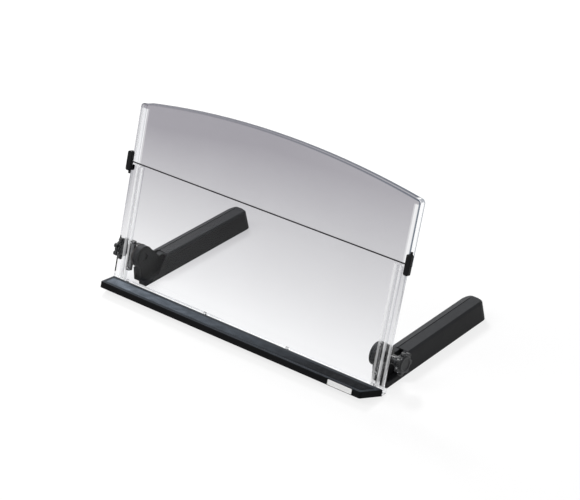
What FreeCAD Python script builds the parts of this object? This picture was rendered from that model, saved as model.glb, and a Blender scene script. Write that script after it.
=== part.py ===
"""Copy holder with a sliding line guide, as a parametric FreeCAD document.

A clear moulded panel leans back on two hollow legs.  Each leg is clamped to the panel by a
bolt and a lobed knob on one common tilt axis, so the panel can lean further back or fold flat.
An elastic line guide is stretched across the panel between two clips that slide on its sides.

Frame: +X to the right, +Y to the back, +Z up, millimetres.  The origin is on the desk, at the
middle of the footprint.  The legs are one moulding used twice, with the ear on the same side of
both; the clamps' other pieces are mirror images of each other.
"""

import FreeCAD, Part
import math
import os
import re

import Sketcher
from FreeCAD import Placement, Rotation, Vector

# ---------------------------------------------------------------- driving dimensions
SIZES = [
    # whole object
    ("tilt", 16.3, "lean of the panel from upright, degrees"),
    ("panel_set", -104.8, "front edge of the panel's foot, from the middle of the footprint"),
    ("running", 0.05, "radial clearance of a turning fit"),
    ("face_gap", 0.1, "gap between faces that turn on each other"),
    # panel
    ("panel_width", 457.0, "width of the panel"),
    ("side_height", 253.0, "height of the panel's straight sides, along the panel"),
    ("crown", 20.0, "rise of the top edge's arc over the sides"),
    ("corner", 6.0, "radius of the two top corners"),
    ("sheet", 3.0, "thickness of the panel"),
    ("flange_depth", 10.0, "depth of the stiffening flange, from the front face"),
    ("flange_wall", 2.5, "thickness of the stiffening flange"),
    ("strip", 12.5, "width of the bare side strip that a clip slides on"),
    ("strip_top", 167.4, "height of the strip's upper end, along the panel"),
    ("foot_depth", 9.1, "depth of the panel's foot"),
    ("foot_height", 9.0, "height of the panel's foot"),
    ("mount_rise", 4.0, "rise of the bracket's seat from the panel's back"),
    # shelf
    ("shelf_depth", 35.0, "depth of the shelf, from the panel's front face"),
    ("shelf_height", 9.0, "height of the shelf's front"),
    ("shelf_taper", 9.0, "narrowing of the shelf at each end, back to front"),
    ("shelf_wall", 2.5, "wall of the shelf"),
    ("mat_margin", 6.0, "border left bare around the grip mat"),
    ("mat_back", 8.0, "bare band between the panel and the grip mat"),
    ("mat_sink", 0.8, "depth of the grip mat's recess"),
    ("mat_thick", 1.1, "thickness of the grip mat"),
    ("shelf_screw_margin", 18.5, "outermost shelf screw, from the panel's side"),
    ("shelf_screw_up", 6.0, "height of the shelf's screws"),
    ("boss_width", 8.0, "width of the shelf's screw bosses"),
    ("boss_depth", 12.0, "depth of the shelf's screw bosses"),
    # small screws
    ("screw_radius", 1.3, "radius of a small screw's shank"),
    ("screw_head", 2.5, "radius of a small screw's countersunk head"),
    ("screw_play", 0.05, "radial play of a small screw in its hole"),
    ("foot_screw_grip", 8.0, "length of a shelf screw inside the shelf"),
    ("bracket_screw_grip", 3.0, "length of a bracket screw inside the panel"),
    # tilt axis
    ("axis_back", 19.4, "tilt axis behind the panel's front face"),
    ("axis_up", 43.8, "tilt axis above the panel's lower edge, along the panel"),
    ("bolt_radius", 3.0, "radius of the tilt bolt"),
    ("bolt_flats", 10.0, "width of the tilt bolt's hexagon head across its flats"),
    ("bolt_head_thick", 4.0, "thickness of the tilt bolt's head"),
    ("bolt_head_sink", 1.5, "depth of the bolt's head below the ear's inner face"),
    ("bolt_over", 8.9, "end of the tilt bolt, beyond the panel's side"),
    ("hub", 15.6, "radius of the ear's and the bracket's round hub"),
    ("bracket_width", 6.8, "width of the bracket"),
    ("bracket_plate", 3.0, "thickness of the bracket's screwed plate"),
    ("bracket_neck", 9.0, "half width of the bracket's neck behind its plate"),
    ("bracket_reach", 20.7, "half length of the bracket's plate"),
    ("bracket_screw", 17.7, "distance of a bracket screw from the tilt axis"),
    ("clutch", 1.4, "thickness of the friction washer"),
    ("clutch_radius", 16.0, "radius of the friction washer"),
    ("sleeve", 6.4, "radius of the spacer sleeve"),
    ("knob_over", 2.0, "inner face of the knob, beyond the panel's side"),
    ("knob_thick", 11.5, "thickness of the knob"),
    ("knob_boss", 8.6, "radius of the knob's boss on its inner side"),
    ("knob_disc", 6.4, "thickness of the knob's lobed disc"),
    ("knob_core", 11.8, "radius of the knob between its lobes"),
    ("knob_rim", 1.4, "width of the slope around the knob's outer face"),
    ("lobe", 3.2, "radius of a knob's lobe"),
    ("lobe_ring", 12.5, "radius of the circle of the knob's lobes"),
    ("lobe_count", 7, "number of lobes on a knob"),
    ("dish", 8.4, "radius of the shallow dish in the knob's face"),
    ("dish_sink", 0.8, "depth of the dish in the knob's face"),
    ("thread_spare", 0.6, "length of the knob's bore beyond the bolt's end"),
    ("washer", 8.0, "radius of the washer under the knob"),
    ("washer_thick", 1.2, "thickness of the washer under the knob"),
    # legs
    ("leg_set", 41.5, "inner side of the leg's base, in from the panel's side"),
    ("leg_width", 36.4, "width of the leg's base"),
    ("leg_front", 18.4, "front of the leg, behind the panel's front edge"),
    ("leg_length", 224.6, "length of the leg"),
    ("leg_height", 28.0, "height of the leg's top"),
    ("leg_wall", 2.4, "wall of the leg"),
    ("leg_draft", 7.0, "draft of the leg's sides, degrees"),
    ("leg_round", 12.0, "radius of the leg's rear corners"),
    ("leg_slope", 4.5, "fall of the leg's top towards its inner side"),
    ("leg_facet", 2.8, "width of the facet around the leg's top"),
    ("notch_long", 36.0, "length of the notch in the leg's front corner beside the ear"),
    ("open_long", 51.6, "length of the leg's open front"),
    ("open_floor", 27.0, "length of the low rail along the open front"),
    ("rail", 7.0, "height of the low rail"),
    ("ear_set", 32.0, "inner face of the ear's hub, in from the panel's side"),
    ("ear_thick", 8.3, "thickness of the ear's hub"),
    ("pillar", 14.3, "width of the pillar under the ear"),
    ("pillar_back", 5.4, "front of the pillar, behind the leg's front"),
    ("ear_root", 41.5, "where the ear's slope meets the leg's top, from the leg's front"),
    ("collar", 12.4, "radius of the raised collar on the ear's face"),
    ("collar_rise", 0.8, "rise of the collar on the ear's face"),
    ("flute", 1.2, "width of the grooves down the pillar's front"),
    ("flute_sink", 0.8, "depth of the grooves down the pillar's front"),
    ("flute_long", 14.0, "length of the grooves down the pillar's front"),
    ("groove_from", 14.0, "groove in the leg's top, from the leg's inner side"),
    ("groove", 1.2, "width of the groove in the leg's top"),
    ("groove_sink", 0.9, "depth of the groove in the leg's top"),
    ("cover_thick", 2.4, "thickness of the leg's bottom cover"),
    ("cover_play", 0.15, "play of the bottom cover inside the leg"),
    ("foot_drop", 0.8, "rubber foot's rise of the leg over the desk"),
    ("foot_radius", 6.0, "radius of a rubber foot"),
    ("foot_sink", 1.1, "depth of a rubber foot's seat in the cover"),
    ("front_foot", 48.0, "front rubber foot, from the leg's front"),
    ("rear_foot", 15.6, "rear rubber foot, from the leg's rear end"),
    # line guide
    ("clip_up", 172.6, "height of the clips at rest, along the panel"),
    ("clip_long", 27.0, "length of a clip"),
    ("clip_in", 2.2, "reach of a clip over the panel's edge"),
    ("clip_out", 5.6, "reach of a clip beyond the panel's edge"),
    ("clip_front", 5.6, "reach of a clip in front of the panel"),
    ("clip_back", 1.5, "reach of a clip behind the panel"),
    ("clip_hook", 2.6, "thickness of a clip's hook beside the panel's edge"),
    ("lip_long", 8.0, "length of a clip's lip behind the side strip"),
    ("clip_play", 0.25, "play of a clip on the panel"),
    ("clip_round", 2.6, "rounding of a clip's ends"),
    ("clip_edge", 0.7, "width of the slope around a clip's front"),
    ("tab", 1.7, "radius of the finger tab on a clip's end"),
    ("tab_right", 3.2, "right clip's finger tab, outwards from the panel's side"),
    ("tab_left", -0.5, "left clip's finger tab, outwards from the panel's side"),
    ("tab_long", 3.5, "length of the finger tab"),
    ("cord", 0.9, "radius of the elastic cord"),
    ("cord_off", 2.6, "elastic cord in front of the panel"),
    ("ferrule", 1.5, "radius of the crimped ferrule"),
    ("ferrule_long", 3.4, "length of the crimped ferrule"),
    ("ferrule_seat", 1.6, "bottom of the ferrule's seat, beyond the panel's edge"),
]

SHELF_SCREWS = 4

doc = FreeCAD.newDocument("copy_holder")
sizes = doc.addObject("Spreadsheet::Sheet", "Sizes")
for row, (alias, value, note) in enumerate(SIZES, start=1):
    sizes.set(f"A{row}", note)
    sizes.set(f"B{row}", str(value))
    sizes.setAlias(f"B{row}", alias)
doc.recompute()

NAMES = re.compile(r"\b(" + "|".join(alias for alias, _, _ in SIZES) + r")\b")

# places that several pieces share, as expressions of the driving dimensions
HALF = "panel_width / 2"
AXIS_Y = "(axis_up * sin(tilt) + axis_back * cos(tilt))"
AXIS_Z = "(axis_up * cos(tilt) - axis_back * sin(tilt))"
CROWN_RADIUS = "((panel_width ^ 2 / 4 + crown ^ 2) / (2 * crown))"
SEAT = "(sheet + mount_rise)"
EAR_IN = f"({HALF} - ear_set)"
EAR_OUT = f"({EAR_IN} + ear_thick)"
PILLAR_OUT = f"({EAR_IN} + pillar)"
PILLAR_FRONT = "(leg_front + pillar_back)"
PILLAR_TOP = f"({AXIS_Z} - clutch_radius - 1)"
LEFT_LEG = f"(-{EAR_IN} - {PILLAR_OUT})"
CLUTCH_IN = f"({EAR_OUT} + face_gap)"
BRACKET_IN = f"({CLUTCH_IN} + clutch + face_gap)"
BRACKET_OUT = f"({BRACKET_IN} + bracket_width)"
BRACKET_MID = f"({BRACKET_IN} + bracket_width / 2)"
KNOB_IN = f"({HALF} + knob_over)"
BOLT_TIP = f"({HALF} + bolt_over)"
WASHER_OUT = f"({KNOB_IN} - face_gap)"
WASHER_IN = f"({WASHER_OUT} - washer_thick)"
LEG_IN = f"({HALF} - leg_set)"
LEG_OUT = f"({LEG_IN} + leg_width)"
LEG_END = "(leg_front + leg_length)"
LEG_MID = f"({LEG_IN} + leg_width / 2)"
LEG_CREASE = f"({LEG_IN} + groove_from)"
NOTCH_END = "(leg_front + notch_long)"
COVER_TOP = "(foot_drop + cover_thick)"
BORE = "(bolt_radius + running)"
HOLE = "(screw_radius + screw_play)"
HEAD_HOLE = "(screw_head + screw_play)"
HEAD_DEEP = "(screw_head - screw_radius)"
BOLT_START = f"({EAR_IN} + bolt_head_sink)"
HEAD_SLOPE = "45"


# ---------------------------------------------------------------- helpers
def bound(expression):
    """The expression with each driving dimension named through the spreadsheet."""
    return NAMES.sub(r"Sizes.\1", expression)


def number(expression):
    """The present value of an expression."""
    return float(sizes.evalExpression(bound(expression)))


def in_desk_frame(x="0", y="0", z="0"):
    """A placement on the desk; y counts from the panel's front edge."""
    return f"placement(vector({x}; panel_set + {y}; {z}); rotation(vector(1; 0; 0); 0))"


def in_panel_frame(x="0", back="0", up="0", turn=""):
    """A placement on the leaning panel: x across, y out of its back, z up along it."""
    y = f"panel_set + ({up}) * sin(tilt) + ({back}) * cos(tilt)"
    z = f"({up}) * cos(tilt) - ({back}) * sin(tilt)"
    return f"placement(vector({x}; {y}; {z}); rotation(vector(1; 0; 0); -tilt){turn})"


ON_DESK = in_desk_frame()
ON_PANEL = in_panel_frame()
ON_AXIS = in_desk_frame(y=AXIS_Y, z=AXIS_Z)
LEG_SIDES = (("right", ON_DESK), ("left", in_desk_frame(x=LEFT_LEG)))


def new_body(label, place):
    """An empty body whose placement follows the driving dimensions."""
    body = doc.addObject("PartDesign::Body", label)
    body.Label = label
    body.setExpression("Placement", bound(place))
    return body


def new_sketch(body, plane, lift="0"):
    """A sketch on one of the body's own origin planes, lifted along its normal."""
    sketch = body.newObject("Sketcher::SketchObject", f"{body.Name}_sketch")
    support = [f for f in body.Origin.OriginFeatures if f.Role == plane][0]
    sketch.AttachmentSupport = [(support, "")]
    sketch.MapMode = "FlatFace"
    sketch.setExpression("AttachmentOffset.Base.z", bound(lift))
    return sketch


def pin(sketch, element, vertex, x, y):
    """Dimension a point of the sketch from the sketch's origin."""
    for kind, text, axis in (("DistanceX", x, -2), ("DistanceY", y, -1)):
        value = number(text)
        if abs(value) < 1e-9:
            sketch.addConstraint(Sketcher.Constraint("PointOnObject", element, vertex, axis))
            continue
        index = sketch.addConstraint(Sketcher.Constraint(kind, -1, 1, element, vertex, value))
        sketch.setExpression(f"Constraints[{index}]", bound(text))


def outline(sketch, points):
    """A closed outline through points (x, y) or (x, y, radius).

    A radius bends the side that leaves its point: to the left of the way if it is positive
    and to the right if it starts with a minus sign.
    """
    first = sketch.GeometryCount
    spots = [Vector(number(p[0]), number(p[1]), 0) for p in points]
    for i, point in enumerate(points):
        start, end = spots[i], spots[(i + 1) % len(points)]
        if len(point) == 2:
            sketch.addGeometry(Part.LineSegment(start, end))
            continue
        left = not point[2].startswith("-")
        radius = number(point[2].lstrip("-"))
        half = (end - start) / 2
        reach = math.sqrt(max(radius ** 2 - half.Length ** 2, 0.0))
        side = Vector(-half.y, half.x, 0).normalize() * (reach if left else -reach)
        centre = start + half + side
        a = math.atan2(start.y - centre.y, start.x - centre.x)
        b = math.atan2(end.y - centre.y, end.x - centre.x)
        ring = Part.Circle(centre, Vector(0, 0, 1), radius)
        sketch.addGeometry(Part.ArcOfCircle(ring, a, b) if left else Part.ArcOfCircle(ring, b, a))
    ends = []
    for i, point in enumerate(points):
        turned = len(point) == 3 and point[2].startswith("-")
        ends.append((2, 1) if turned else (1, 2))
    for i, point in enumerate(points):
        following = (i + 1) % len(points)
        sketch.addConstraint(Sketcher.Constraint(
            "Coincident", first + i, ends[i][1], first + following, ends[following][0]))
        pin(sketch, first + i, ends[i][0], point[0], point[1])
        if len(point) == 3:
            text = point[2].lstrip("-")
            index = sketch.addConstraint(Sketcher.Constraint("Radius", first + i, number(text)))
            sketch.setExpression(f"Constraints[{index}]", bound(text))
    return sketch


def rectangle(sketch, x1, y1, x2, y2):
    """A rectangle between two corners, the first one lowest in x and y."""
    return outline(sketch, [(x1, y1), (x2, y1), (x2, y2), (x1, y2)])


def circle(sketch, x, y, radius):
    """A circle about a dimensioned centre."""
    index = sketch.addGeometry(
        Part.Circle(Vector(number(x), number(y), 0), Vector(0, 0, 1), number(radius)))
    pin(sketch, index, 3, x, y)
    datum = sketch.addConstraint(Sketcher.Constraint("Radius", index, number(radius)))
    sketch.setExpression(f"Constraints[{datum}]", bound(radius))
    return sketch


def hexagon(sketch, x, y, flats):
    """A hexagon about a point, of a given width across its flats."""
    reach = f"({flats}) / sqrt(3)"
    return outline(sketch, [(f"{x} + {reach} * cos({60 * i})", f"{y} + {reach} * sin({60 * i})")
                            for i in range(6)])


def pad(body, sketch, length, reverse=False, middle=False, draft=None):
    """Raise a sketch; draft leans its sides inwards."""
    feature = body.newObject("PartDesign::Pad", f"{body.Name}_pad")
    feature.Profile = sketch
    feature.setExpression("Length", bound(length))
    feature.Reversed = reverse
    feature.Midplane = middle
    if draft:
        feature.setExpression("TaperAngle", bound(f"-({draft})"))
    sketch.Visibility = False
    return feature


def pocket(body, sketch, length=None, reverse=False, middle=False, draft=None):
    """Sink a sketch into the body, right through it when no length is given."""
    doc.recompute()
    before = body.Shape.Volume
    feature = body.newObject("PartDesign::Pocket", f"{body.Name}_pocket")
    feature.Profile = sketch
    if length is None:
        feature.Type = "ThroughAll"
    else:
        feature.setExpression("Length", bound(length))
    feature.Reversed = reverse
    feature.Midplane = middle
    if draft:
        feature.setExpression("TaperAngle", bound(f"-({draft})"))
    doc.recompute()
    if not body.Shape.Volume < before - 1e-6:
        raise RuntimeError(f"{feature.Name} of {body.Label} cuts nothing")
    return feature


def turned(label, points, place=ON_AXIS):
    """A body turned about its X axis from a profile of (x, radius) points."""
    body = new_body(label, place)
    sketch = outline(new_sketch(body, "XY_Plane"), points)
    feature = body.newObject("PartDesign::Revolution", f"{label}_turn")
    feature.Profile = sketch
    feature.ReferenceAxis = (sketch, ["H_Axis"])
    feature.Angle = 360
    return body


def ring(label, start, end, inner, outer):
    """A plain ring about the tilt axis."""
    return turned(label, [(start, inner), (end, inner), (end, outer), (start, outer)])


def edges_where(body, wanted):
    """Names of the edges of the body's present shape that a test accepts."""
    doc.recompute()
    shape = body.Tip.Shape
    return [f"Edge{i}" for i, edge in enumerate(shape.Edges, start=1) if wanted(edge)]


def soften(body, kind, size, wanted):
    """Round ("Fillet") or cut ("Chamfer") the edges that a test accepts."""
    names = edges_where(body, wanted)
    if not names:
        raise RuntimeError(f"no edge of {body.Label} to soften")
    base = body.Tip
    feature = body.newObject(f"PartDesign::{kind}", f"{body.Name}_{kind.lower()}")
    feature.Base = (base, names)
    feature.setExpression("Radius" if kind == "Fillet" else "Size", bound(size))
    return feature


def runs_along(edge, axis):
    """Whether a straight edge lies along an axis, given as 0, 1 or 2."""
    if edge.Curve.TypeId != "Part::GeomLine":
        return False
    way = edge.tangentAt(edge.FirstParameter)
    return abs(abs(way[axis]) - 1) < 1e-3


def middle_of(edge):
    """The middle of an edge's box."""
    return edge.BoundBox.Center


def near(value, expression, slack=0.3):
    """Whether a coordinate is at the place that an expression names."""
    return abs(value - number(expression)) < slack


def mirrored(label, source):
    """The left-hand twin of a right-hand piece."""
    twin = doc.addObject("Part::Mirroring", label)
    twin.Label = label
    twin.Source = source
    twin.Normal = Vector(1, 0, 0)
    twin.Base = Vector(0, 0, 0)
    return twin


def screw_shape(grip):
    """A countersunk screw: its head's flat face at z = 0 and its shank below."""
    head = number("screw_head")
    radius = number("screw_radius")
    deep = number(HEAD_DEEP)
    cone = Part.makeCone(radius, head, deep, Vector(0, 0, -deep))
    shank = Part.makeCylinder(radius, number(grip) - deep, Vector(0, 0, -number(grip)))
    return cone.fuse(shank).removeSplitter()


def screw_set(label, frame, spots, grip, facing):
    """Identical screws as one group; facing turns the head's side from +Z."""
    screws = []
    for x, y, z in spots:
        screw = screw_shape(grip)
        screw.Placement = Placement(Vector(x, y, z), facing)
        screws.append(screw)
    group = doc.addObject("Part::Feature", label)
    group.Label = label
    group.Shape = Part.makeCompound(screws)
    group.setExpression("Placement", bound(frame))
    return group


# ---------------------------------------------------------------- panel and shelf
def shelf_screw_places():
    """Places across the panel of the screws that hold the shelf."""
    span = "(panel_width - 2 * shelf_screw_margin)"
    return [f"({i / (SHELF_SCREWS - 1) - 0.5}) * {span}" for i in range(SHELF_SCREWS)]


def bracket_screw_places():
    """Places up the panel of the screws that hold a bracket."""
    return ["(axis_up - bracket_screw)", "(axis_up + bracket_screw)"]


def make_panel():
    """The clear moulding: plate, foot, stiffening flange and bracket seats."""
    body = new_body("panel", ON_PANEL)
    foot = outline(new_sketch(body, "YZ_Plane"), [
        ("0", "0"), ("foot_depth", "foot_depth * tan(tilt)"),
        ("foot_depth", "foot_height"), ("0", "foot_height")])
    pad(body, foot, "panel_width", middle=True)
    low = "foot_height / 2"
    plate = outline(new_sketch(body, "XZ_Plane"), [
        (f"-{HALF}", low), (HALF, low), (HALF, "side_height", CROWN_RADIUS),
        (f"-{HALF}", "side_height")])
    pad(body, plate, "sheet", reverse=True)

    rib = f"({HALF} - strip)"
    under = f"({CROWN_RADIUS} - flange_wall)"
    inner = f"({HALF} - flange_wall)"
    shoulder = (f"(side_height + crown - {CROWN_RADIUS}"
                f" + sqrt({under} ^ 2 - {inner} ^ 2))")
    flange = outline(new_sketch(body, "XZ_Plane"), [
        (rib, low), (rib, "strip_top"), (HALF, "strip_top"),
        (HALF, "side_height", CROWN_RADIUS), (f"-{HALF}", "side_height"),
        (f"-{HALF}", "strip_top"), (f"-{rib}", "strip_top"), (f"-{rib}", low),
        (f"-({rib} - flange_wall)", low),
        (f"-({rib} - flange_wall)", "strip_top + flange_wall"),
        (f"-{inner}", "strip_top + flange_wall"), (f"-{inner}", shoulder, f"-{under}"),
        (inner, shoulder), (inner, "strip_top + flange_wall"),
        (f"{rib} - flange_wall", "strip_top + flange_wall"), (f"{rib} - flange_wall", low)])
    pad(body, flange, "flange_depth", reverse=True)

    seats = new_sketch(body, "XZ_Plane")
    bottom, top = "(axis_up - bracket_reach)", "(axis_up + bracket_reach)"
    rectangle(seats, BRACKET_IN, bottom, BRACKET_OUT, top)
    rectangle(seats, f"-{BRACKET_OUT}", bottom, f"-{BRACKET_IN}", top)
    pad(body, seats, SEAT, reverse=True)

    soften(body, "Fillet", "corner", lambda e: runs_along(e, 1)
           and near(abs(middle_of(e).x), HALF) and near(middle_of(e).z, "side_height"))

    through = new_sketch(body, "XZ_Plane")
    heads = new_sketch(body, "XZ_Plane", "-foot_depth")
    for x in shelf_screw_places():
        circle(through, x, "shelf_screw_up", HOLE)
        circle(heads, x, "shelf_screw_up", HEAD_HOLE)
    pocket(body, through)
    pocket(body, heads, HEAD_DEEP, reverse=True, draft=HEAD_SLOPE)
    blind = new_sketch(body, "XZ_Plane", f"-{SEAT}")
    for up in bracket_screw_places():
        circle(blind, BRACKET_MID, up, HOLE)
        circle(blind, f"-{BRACKET_MID}", up, HOLE)
    pocket(body, blind, "bracket_screw_grip + 0.5", reverse=True)
    return body


def make_shelf():
    """The hollow ledge under the pages, tapered in plan, with screw bosses inside."""
    body = new_body("shelf", ON_PANEL)
    narrow = f"({HALF} - shelf_taper)"
    plan = outline(new_sketch(body, "XY_Plane"), [
        (f"-{narrow}", "-shelf_depth"), (narrow, "-shelf_depth"), (HALF, "0"), (f"-{HALF}", "0")])
    pad(body, plan, "shelf_height")
    soften(body, "Fillet", "shelf_wall", lambda e: runs_along(e, 2)
           and near(middle_of(e).y, "-shelf_depth"))
    soften(body, "Fillet", "shelf_wall / 3", lambda e: runs_along(e, 0)
           and near(middle_of(e).y, "-shelf_depth"))
    inner_front = "(shelf_wall - shelf_depth)"
    hollow = outline(new_sketch(body, "XY_Plane"), [
        (f"shelf_wall - {narrow}", inner_front), (f"{narrow} - shelf_wall", inner_front),
        (f"{HALF} - 1.4 * shelf_wall", "-shelf_wall"),
        (f"1.4 * shelf_wall - {HALF}", "-shelf_wall")])
    pocket(body, hollow, "shelf_height - shelf_wall", reverse=True)
    bosses = new_sketch(body, "XY_Plane")
    bores = new_sketch(body, "XZ_Plane")
    for x in shelf_screw_places():
        rectangle(bosses, f"{x} - boss_width / 2", "-boss_depth",
                  f"{x} + boss_width / 2", "-shelf_wall / 2")
        circle(bores, x, "shelf_screw_up", HOLE)
    pad(body, bosses, "shelf_height - shelf_wall / 2")
    pocket(body, bores, "foot_screw_grip + 1", reverse=True)
    recess = outline(new_sketch(body, "XY_Plane", "shelf_height"), mat_outline("0"))
    pocket(body, recess, "mat_sink")
    return body


def mat_outline(play):
    """The grip mat's trapezoid, drawn smaller by its play."""
    front = f"(mat_margin + {play} - shelf_depth)"
    back = f"(-mat_back - {play})"
    slope = "shelf_taper / shelf_depth"
    wide = f"({HALF} - mat_margin - {play} - mat_back * {slope})"
    narrow = f"({HALF} - mat_margin - {play} - (shelf_depth - mat_margin) * {slope})"
    return [(f"-{narrow}", front), (narrow, front), (wide, back), (f"-{wide}", back)]


def make_mat():
    """The rubber mat that keeps pages from sliding off the shelf."""
    body = new_body("shelf_mat", ON_PANEL)
    sheet = outline(new_sketch(body, "XY_Plane", "shelf_height - mat_sink"), mat_outline("0.1"))
    pad(body, sheet, "mat_thick")
    return body


# ---------------------------------------------------------------- tilt joint
def make_bracket():
    """The clamp hub that is screwed to the panel's back."""
    body = new_body("right_bracket", ON_PANEL)
    bottom, top = "(axis_up - bracket_reach)", "(axis_up + bracket_reach)"
    plate_back = f"({SEAT} + bracket_plate)"
    side = new_sketch(body, "YZ_Plane", BRACKET_IN)
    outline(side, [
        (SEAT, bottom), (plate_back, bottom), (plate_back, "axis_up - bracket_neck"),
        ("axis_back", "axis_up - bracket_neck"), ("axis_back", "axis_up + bracket_neck"),
        (plate_back, "axis_up + bracket_neck"), (plate_back, top), (SEAT, top)])
    pad(body, side, "bracket_width")
    pad(body, circle(new_sketch(body, "YZ_Plane", BRACKET_IN), "axis_back", "axis_up", "hub"),
        "bracket_width")
    trim = new_sketch(body, "YZ_Plane", BRACKET_IN)
    rectangle(trim, "axis_back - 2 * hub", bottom, SEAT, top)
    pocket(body, trim, reverse=True)
    pocket(body, circle(new_sketch(body, "YZ_Plane", BRACKET_IN), "axis_back", "axis_up", BORE),
           reverse=True)
    holes = new_sketch(body, "XZ_Plane")
    heads = new_sketch(body, "XZ_Plane", f"-{plate_back}")
    for up in bracket_screw_places():
        circle(holes, BRACKET_MID, up, HOLE)
        circle(heads, BRACKET_MID, up, HEAD_HOLE)
    pocket(body, holes)
    pocket(body, heads, HEAD_DEEP, reverse=True, draft=HEAD_SLOPE)
    return body


def make_bolt():
    """The tilt bolt, with a hexagon head."""
    body = turned("right_tilt_bolt", [
        (BOLT_START, "0"), (BOLT_START, "bolt_radius"), (f"{BOLT_TIP} - 0.8", "bolt_radius"),
        (BOLT_TIP, "bolt_radius - 0.7"), (BOLT_TIP, "0")])
    pad(body, hexagon(new_sketch(body, "YZ_Plane", BOLT_START), "0", "0", "bolt_flats"),
        "bolt_head_thick")
    return body


def make_knob():
    """The clamping knob: a boss, a lobed disc with a dished face and a bore for the bolt."""
    out = f"({KNOB_IN} + knob_thick)"
    disc = f"({out} - knob_disc)"
    body = turned("right_knob", [
        (KNOB_IN, "0"), (KNOB_IN, "knob_boss"), (disc, "knob_boss"), (disc, "knob_core"),
        (f"{out} - knob_rim", "knob_core"), (out, "knob_core - knob_rim"), (out, "dish"),
        (f"{out} - dish_sink", "dish - dish_sink"), (f"{out} - dish_sink", "0")])
    lobe = circle(new_sketch(body, "YZ_Plane", disc), "0", "lobe_ring", "lobe")
    first = pad(body, lobe, "knob_disc - knob_rim")
    doc.recompute()
    turns = body.newObject("PartDesign::PolarPattern", "knob_lobes")
    turns.Originals = [first]
    turns.Axis = ([f for f in body.Origin.OriginFeatures if f.Role == "X_Axis"][0], [""])
    turns.Angle = 360
    turns.setExpression("Occurrences", bound("lobe_count"))
    body.Tip = turns
    doc.recompute()
    bore = circle(new_sketch(body, "YZ_Plane", KNOB_IN), "0", "0", BORE)
    pocket(body, bore, "bolt_over - knob_over + thread_spare", reverse=True)
    return body


# ---------------------------------------------------------------- legs
def cover_plan(sketch, inset):
    """The cover's outline inside the leg, round at the rear and notched beside the pillar."""
    left, right = f"({LEG_IN} + {inset})", f"({LEG_OUT} - {inset})"
    front, end = f"(leg_front + {inset})", f"({LEG_END} - {inset})"
    bend = f"(leg_round - {inset})"
    beside, behind = f"({PILLAR_OUT} + cover_play)", f"({NOTCH_END} + leg_wall + cover_play)"
    return outline(sketch, [
        (beside, front), (right, front), (right, f"{end} - {bend}", bend),
        (f"{right} - {bend}", end), (f"{left} + {bend}", end, bend), (left, f"{end} - {bend}"),
        (left, behind), (beside, behind)])


def foot_places():
    """Places along the leg of its rubber feet."""
    return ["(leg_front + front_foot)", f"({LEG_END} - rear_foot)"]


def leg_shell(body):
    """The drafted leg with its sloping top and notched corner, hollowed from below."""
    lean = "(leg_height - foot_drop) * tan(leg_draft)"
    low = "(leg_height - leg_slope)"
    section = outline(new_sketch(body, "XZ_Plane", "-leg_front"), [
        (LEG_IN, "foot_drop"), (LEG_OUT, "foot_drop"), (f"{LEG_OUT} - {lean}", "leg_height"),
        (LEG_CREASE, "leg_height"), (f"{LEG_IN} + ({low} - foot_drop) * tan(leg_draft)", low)])
    pad(body, section, "leg_length", reverse=True)
    slope = outline(new_sketch(body, "YZ_Plane"), [
        (LEG_END, "foot_drop"), (f"{LEG_END} + 1", "foot_drop"), (f"{LEG_END} + 1", "leg_height"),
        (f"{LEG_END} - {lean}", "leg_height")])
    pocket(body, slope, middle=True)
    notch = rectangle(new_sketch(body, "XY_Plane"), f"{LEG_IN} - 1", "leg_front - 1",
                      EAR_IN, NOTCH_END)
    pocket(body, notch, reverse=True)
    soften(body, "Fillet", "leg_round", lambda e: e.Curve.TypeId == "Part::GeomLine"
           and near(middle_of(e).y, f"{LEG_END} - {lean} / 2", 0.5)
           and e.BoundBox.ZLength > number("leg_height") / 2)
    doc.recompute()
    solid = body.Tip
    bottom = [f"Face{i}" for i, face in enumerate(solid.Shape.Faces, start=1)
              if near(face.BoundBox.ZMax, "foot_drop", 0.05)]
    shell = body.newObject("PartDesign::Thickness", f"{body.Name}_shell")
    shell.Base = (solid, bottom)
    shell.setExpression("Value", bound("leg_wall"))
    shell.Reversed = True
    soften(body, "Chamfer", "leg_facet", lambda e: near(middle_of(e).z, "leg_height")
           and middle_of(e).y > number(PILLAR_FRONT) + 1
           and middle_of(e).x > number(LEG_CREASE) + 1)
    groove = new_sketch(body, "XY_Plane", "leg_height")
    rectangle(groove, LEG_CREASE, "leg_front + open_long - 1", f"{LEG_CREASE} + groove",
              f"{LEG_END} - leg_round")
    pocket(body, groove, "groove_sink")


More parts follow.
